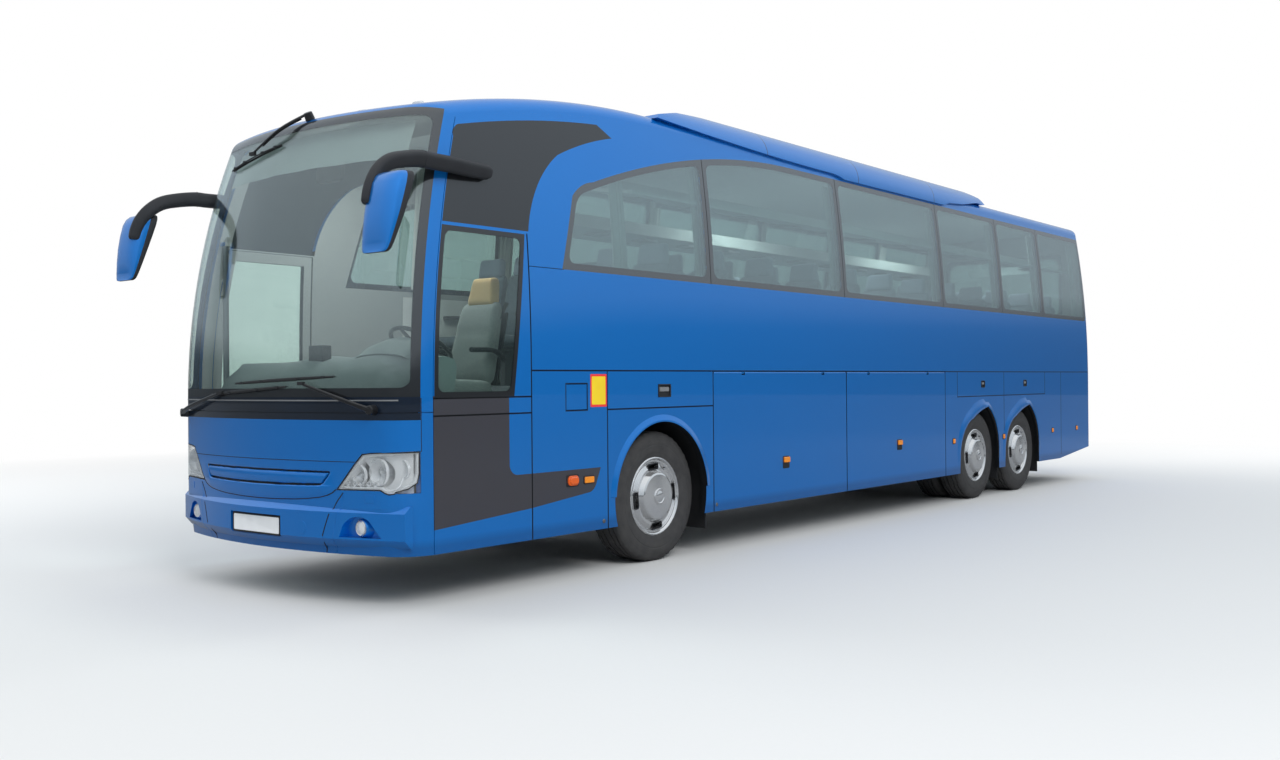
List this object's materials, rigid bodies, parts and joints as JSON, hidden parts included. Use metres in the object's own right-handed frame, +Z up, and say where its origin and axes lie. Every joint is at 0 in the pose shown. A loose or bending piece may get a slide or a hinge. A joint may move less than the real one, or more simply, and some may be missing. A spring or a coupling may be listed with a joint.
{
  "type": "three-axle touring coach",
  "caption": "High-floor touring coach with steered front wheels, twin drive wheels, luggage flaps, swinging passenger doors, roof pod and long mirror arms.",
  "frame": {"origin": "on the ground under the middle of the whole coach, mirrors included", "axes": "+Z up, -Y towards the nose, +X towards the driver's (left) side"},
  "size_m": [3.16, 13.17, 3.7899],
  "materials": {
    "body_paint": "metallic mid-blue paint with clear coat",
    "roof_paint": "lighter blue painted roof",
    "glass": "grey-green tinted glass",
    "lamp_glass": "clear lamp covers",
    "red_lamp": "red and amber rear lamps",
    "dark_plastic": "black textured plastic",
    "floor_mat": "grey floor covering",
    "chassis_black": "black chassis paint",
    "steel": "machined steel",
    "rim_chrome": "polished wheel trim",
    "tyre": "black tyre",
    "rubber": "black rubber",
    "seat_fabric": "blue woven seat cover",
    "engine_iron": "grey engine casting"
  },
  "bodies": {
    "coach": {"arch_liners": "dark_plastic", "axle_beams": "chassis_black", "cab_glass": "glass", "cabin_floor": "floor_mat", "chassis_rails": "chassis_black", "crew_seats": "seat_fabric", "dashboard": "dark_plastic", "engine_block": "engine_iron", "fog_lamps": "lamp_glass", "front_bumper": "body_paint", "front_cap": "body_paint", "front_mask": "body_paint", "grille": "body_paint", "headlamps": "lamp_glass", "lamp_bowls": "rim_chrome", "luggage_bay": "floor_mat", "luggage_racks": "dark_plastic", "mirrors": "dark_plastic", "passenger_seats": "seat_fabric", "rear_wall": "body_paint", "roof": "roof_paint", "roof_pod": "roof_paint", "saloon_glass": "glass", "side_wall_left": "body_paint", "side_wall_right": "body_paint", "tail_lamps": "red_lamp", "windscreen": "glass", "wipers": "rubber"},
    "engine_lid": {"engine_lid": "body_paint"},
    "flap_left_front": {"flap_left_front": "body_paint"},
    "flap_left_rear": {"flap_left_rear": "body_paint"},
    "flap_right_front": {"flap_right_front": "body_paint"},
    "flap_right_rear": {"flap_right_rear": "body_paint"},
    "front_door": {"front_door": "body_paint", "front_door_glass": "glass"},
    "front_door_arms": {"front_door_arms": "steel"},
    "fuel_flap": {"fuel_flap": "body_paint"},
    "knuckle_left": {"knuckle_left": "steel"},
    "knuckle_right": {"knuckle_right": "steel"},
    "mid_door": {"mid_door": "body_paint", "mid_door_glass": "glass"},
    "mid_door_arms": {"mid_door_arms": "steel"},
    "wheel_drive_left": {"tyre_drive_left": "tyre", "wheel_drive_left": "rim_chrome"},
    "wheel_drive_right": {"tyre_drive_right": "tyre", "wheel_drive_right": "rim_chrome"},
    "wheel_front_left": {"tyre_front_left": "tyre", "wheel_front_left": "rim_chrome"},
    "wheel_front_right": {"tyre_front_right": "tyre", "wheel_front_right": "rim_chrome"},
    "wheel_tag_left": {"tyre_tag_left": "tyre", "wheel_tag_left": "rim_chrome"},
    "wheel_tag_right": {"tyre_tag_right": "tyre", "wheel_tag_right": "rim_chrome"}
  },
  "joints": [
    {"name": "steer_left", "type": "hinge", "parent": "coach", "child": "knuckle_left", "pos_m": [0.935, -3.582, 0.516], "axis": [0, 0, 1], "range_deg": [-50, 50]},
    {"name": "steer_right", "type": "hinge", "parent": "coach", "child": "knuckle_right", "pos_m": [-0.935, -3.582, 0.516], "axis": [0, 0, 1], "range_deg": [-50, 50]},
    {"name": "spin_front_left", "type": "hinge", "parent": "knuckle_left", "child": "wheel_front_left", "pos_m": [1.06, -3.582, 0.516], "axis": [1, 0, 0], "continuous": true},
    {"name": "spin_front_right", "type": "hinge", "parent": "knuckle_right", "child": "wheel_front_right", "pos_m": [-1.06, -3.582, 0.516], "axis": [1, 0, 0], "continuous": true},
    {"name": "spin_drive_left", "type": "hinge", "parent": "coach", "child": "wheel_drive_left", "pos_m": [1.077, 2.625, 0.516], "axis": [1, 0, 0], "continuous": true},
    {"name": "spin_drive_right", "type": "hinge", "parent": "coach", "child": "wheel_drive_right", "pos_m": [-1.077, 2.625, 0.516], "axis": [1, 0, 0], "continuous": true},
    {"name": "spin_tag_left", "type": "hinge", "parent": "coach", "child": "wheel_tag_left", "pos_m": [1.077, 3.96, 0.516], "axis": [1, 0, 0], "continuous": true},
    {"name": "spin_tag_right", "type": "hinge", "parent": "coach", "child": "wheel_tag_right", "pos_m": [-1.077, 3.96, 0.516], "axis": [1, 0, 0], "continuous": true},
    {"name": "open_flap_left_front", "type": "hinge", "parent": "coach", "child": "flap_left_front", "pos_m": [1.261, -1.76, 1.494], "axis": [0, -1, 0], "range_deg": [0, 90]},
    {"name": "open_flap_right_front", "type": "hinge", "parent": "coach", "child": "flap_right_front", "pos_m": [-1.261, -1.76, 1.494], "axis": [0, 1, 0], "range_deg": [0, 90]},
    {"name": "open_flap_left_rear", "type": "hinge", "parent": "coach", "child": "flap_left_rear", "pos_m": [1.261, 0.51, 1.494], "axis": [0, -1, 0], "range_deg": [0, 90]},
    {"name": "open_flap_right_rear", "type": "hinge", "parent": "coach", "child": "flap_right_rear", "pos_m": [-1.261, 0.045, 1.494], "axis": [0, 1, 0], "range_deg": [0, 90]},
    {"name": "open_engine_lid", "type": "hinge", "parent": "coach", "child": "engine_lid", "pos_m": [0, 6.55748, 1.724], "axis": [1, 0, 0], "range_deg": [0, 80]},
    {"name": "open_fuel_flap", "type": "hinge", "parent": "coach", "child": "fuel_flap", "pos_m": [1.265, -4.713, 1.319], "axis": [0, 0, -1], "range_deg": [0, 100]},
    {"name": "swing_front_door_arms", "type": "hinge", "parent": "coach", "child": "front_door_arms", "pos_m": [-1.145, -5.915, 0.8], "axis": [0, 0, 1], "range_deg": [0, 105]},
    {"name": "turn_front_door", "type": "hinge", "parent": "front_door_arms", "child": "front_door", "pos_m": [-1.145, -5.355, 0.8], "axis": [0, 0, 1], "range_deg": [-105, 0]},
    {"name": "swing_mid_door_arms", "type": "hinge", "parent": "coach", "child": "mid_door_arms", "pos_m": [-1.145, 1.575, 0.8], "axis": [0, 0, -1], "range_deg": [0, 105]},
    {"name": "turn_mid_door", "type": "hinge", "parent": "mid_door_arms", "child": "mid_door", "pos_m": [-1.145, 1.015, 0.8], "axis": [0, 0, -1], "range_deg": [-105, 0]}
  ],
  "couplings": [
    {"joint": "steer_right", "follows": "steer_left", "ratio": 1},
    {"joint": "turn_front_door", "follows": "swing_front_door_arms", "ratio": -1},
    {"joint": "turn_mid_door", "follows": "swing_mid_door_arms", "ratio": -1}
  ]
}
